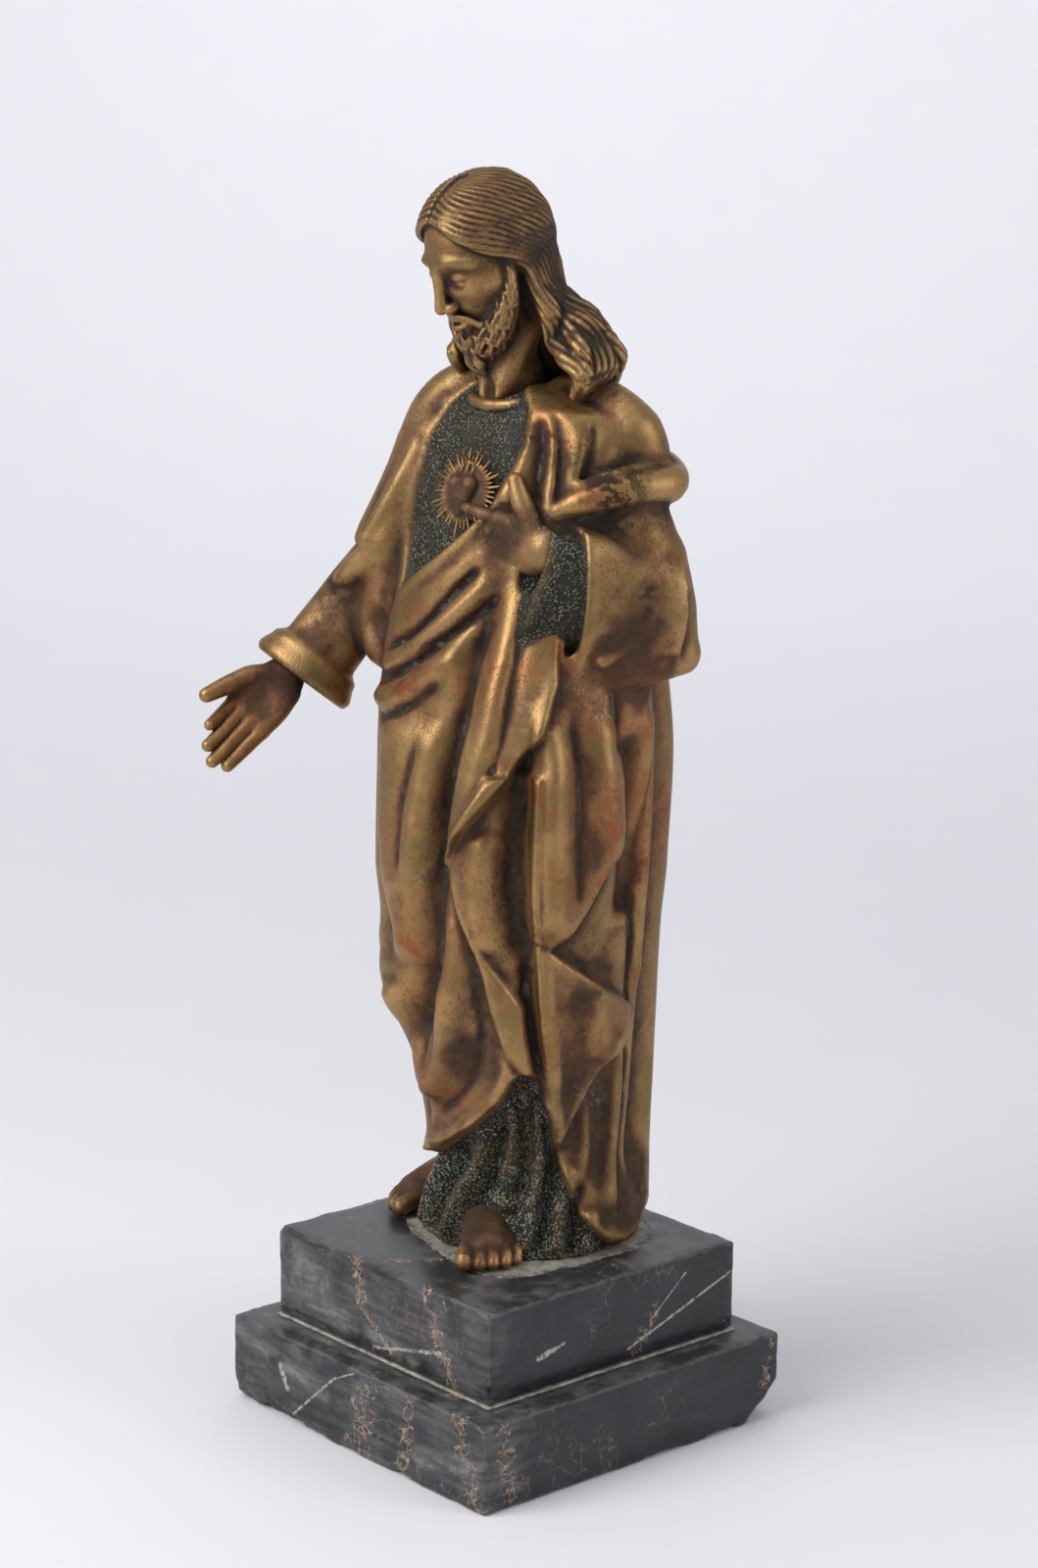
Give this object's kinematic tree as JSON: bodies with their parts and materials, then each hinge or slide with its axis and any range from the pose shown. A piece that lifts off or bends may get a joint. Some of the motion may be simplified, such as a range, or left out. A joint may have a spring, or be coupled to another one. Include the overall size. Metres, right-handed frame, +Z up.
{
  "type": "sacred heart statuette",
  "caption": "Standing robed and bearded figure cast in brass, one arm held out and the other hand at a rayed heart on the chest, on a stepped marble plinth.",
  "frame": {"origin": "centre of the lower block's underside", "axes": "+Z up, the figure faces -Y and its own left hand is towards +X"},
  "size_m": [0.1755, 0.1752, 0.5081],
  "materials": {
    "worn_brass": "worn golden-brown patina with dark hollows and green-white deposits",
    "marble": "black polished marble with gold and white veins, dusty and scuffed",
    "plaster": "matt setting plaster and mortar"
  },
  "bodies": {
    "root": {"lower_marble_block": "marble", "mortar_joint": "plaster", "upper_marble_block": "marble", "plaster_bed": "plaster", "cast_figure": "worn_brass"}
  },
  "joints": []
}
